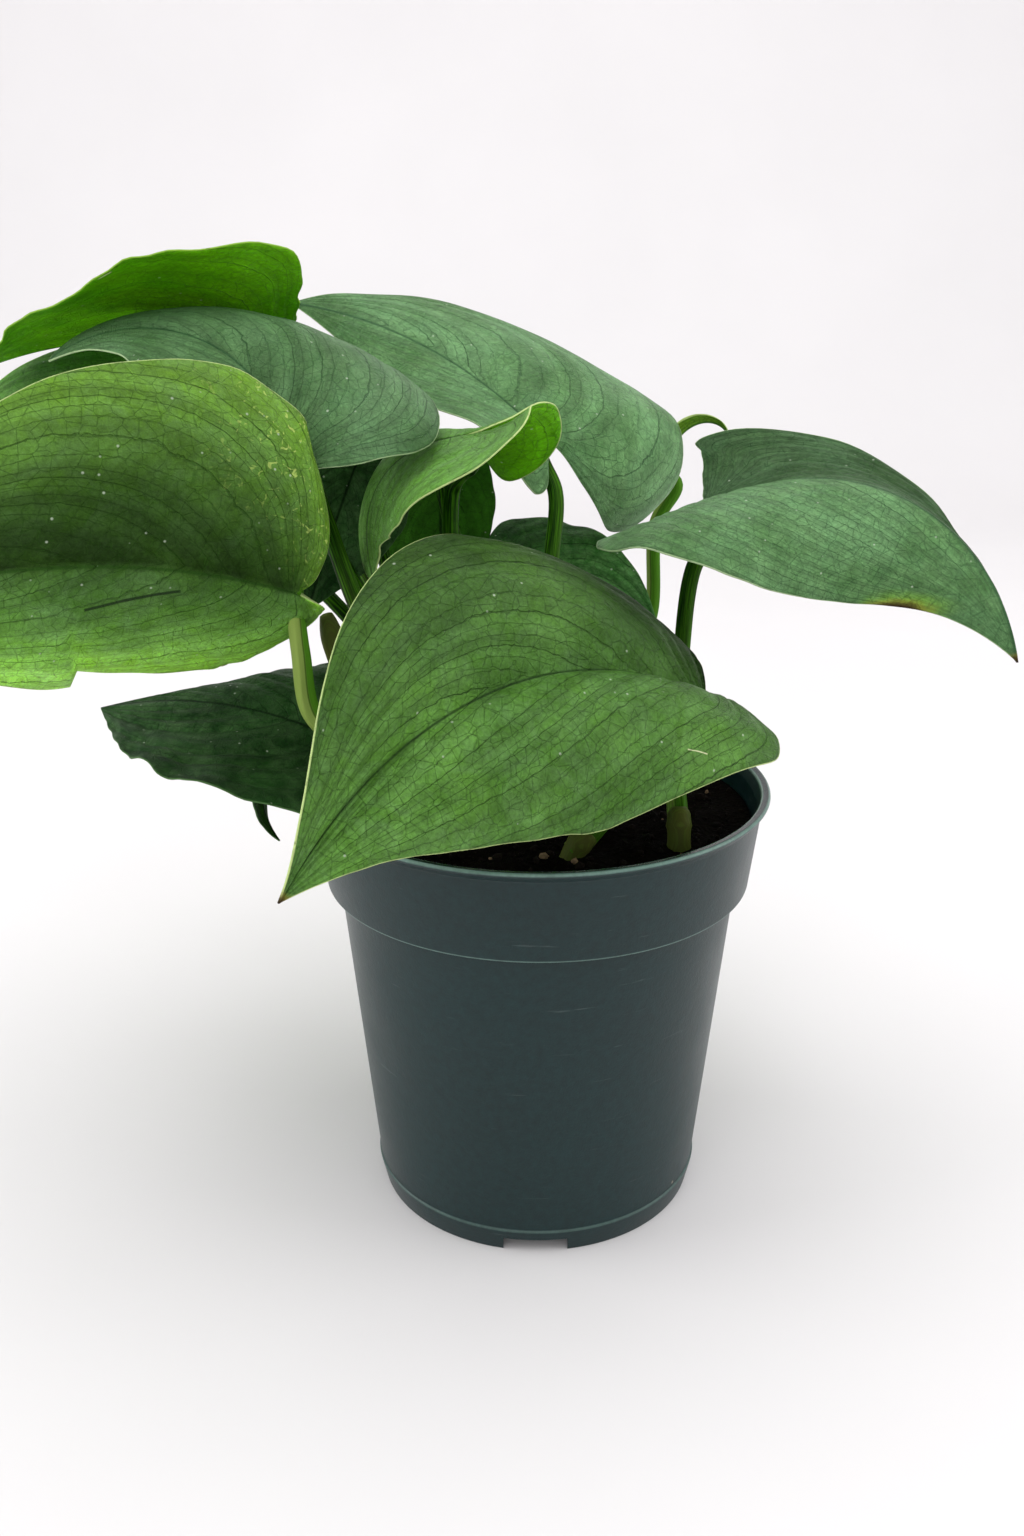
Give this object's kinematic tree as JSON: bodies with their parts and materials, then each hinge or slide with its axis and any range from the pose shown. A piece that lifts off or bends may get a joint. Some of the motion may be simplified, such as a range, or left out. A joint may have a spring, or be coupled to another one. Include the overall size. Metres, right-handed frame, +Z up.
{
  "type": "potted scindapsus plant",
  "caption": "Bushy climbing houseplant with broad heart-shaped leaves on arching stalks, growing in a round tapered nursery pot with a wide collar.",
  "frame": {"origin": "centre of the pot's base, on the surface that the pot stands on", "axes": "+Z up; the plant is seen from the front along +Y, with +X to the right"},
  "size_m": [0.2557, 0.2269, 0.2216],
  "materials": {
    "pot": "matt moulded polypropylene",
    "soil": "moist peat and bark mix",
    "stalk": "smooth living stem",
    "leaf_green": "satin living leaf",
    "leaf_bright": "matt leaf underside",
    "leaf_blue_green": "satin living leaf",
    "leaf_light": "satin young leaf",
    "leaf_dark": "satin old leaf"
  },
  "bodies": {
    "root": {"pot": "pot", "soil": "soil", "shoot_left": "stalk", "shoot_centre": "stalk", "shoot_back": "stalk", "shoot_front": "stalk", "shoot_right": "stalk", "shoot_rear": "stalk", "shoot_rear_left": "stalk", "leaf_front": "leaf_green", "leaf_left": "leaf_green", "leaf_top_left": "leaf_bright", "leaf_middle_left": "leaf_blue_green", "leaf_far_left": "leaf_light", "leaf_top": "leaf_blue_green", "leaf_curled": "leaf_green", "leaf_hanging": "leaf_bright", "leaf_back_right": "leaf_dark", "leaf_right": "leaf_blue_green", "leaf_lower_left": "leaf_dark", "leaf_young": "leaf_light", "leaf_low_hook": "leaf_dark", "leaf_behind": "leaf_blue_green", "leaf_rear": "leaf_green", "leaf_rear_left": "leaf_blue_green", "leaf_rear_low": "leaf_green", "leaf_shaded": "leaf_dark"}
  },
  "joints": []
}
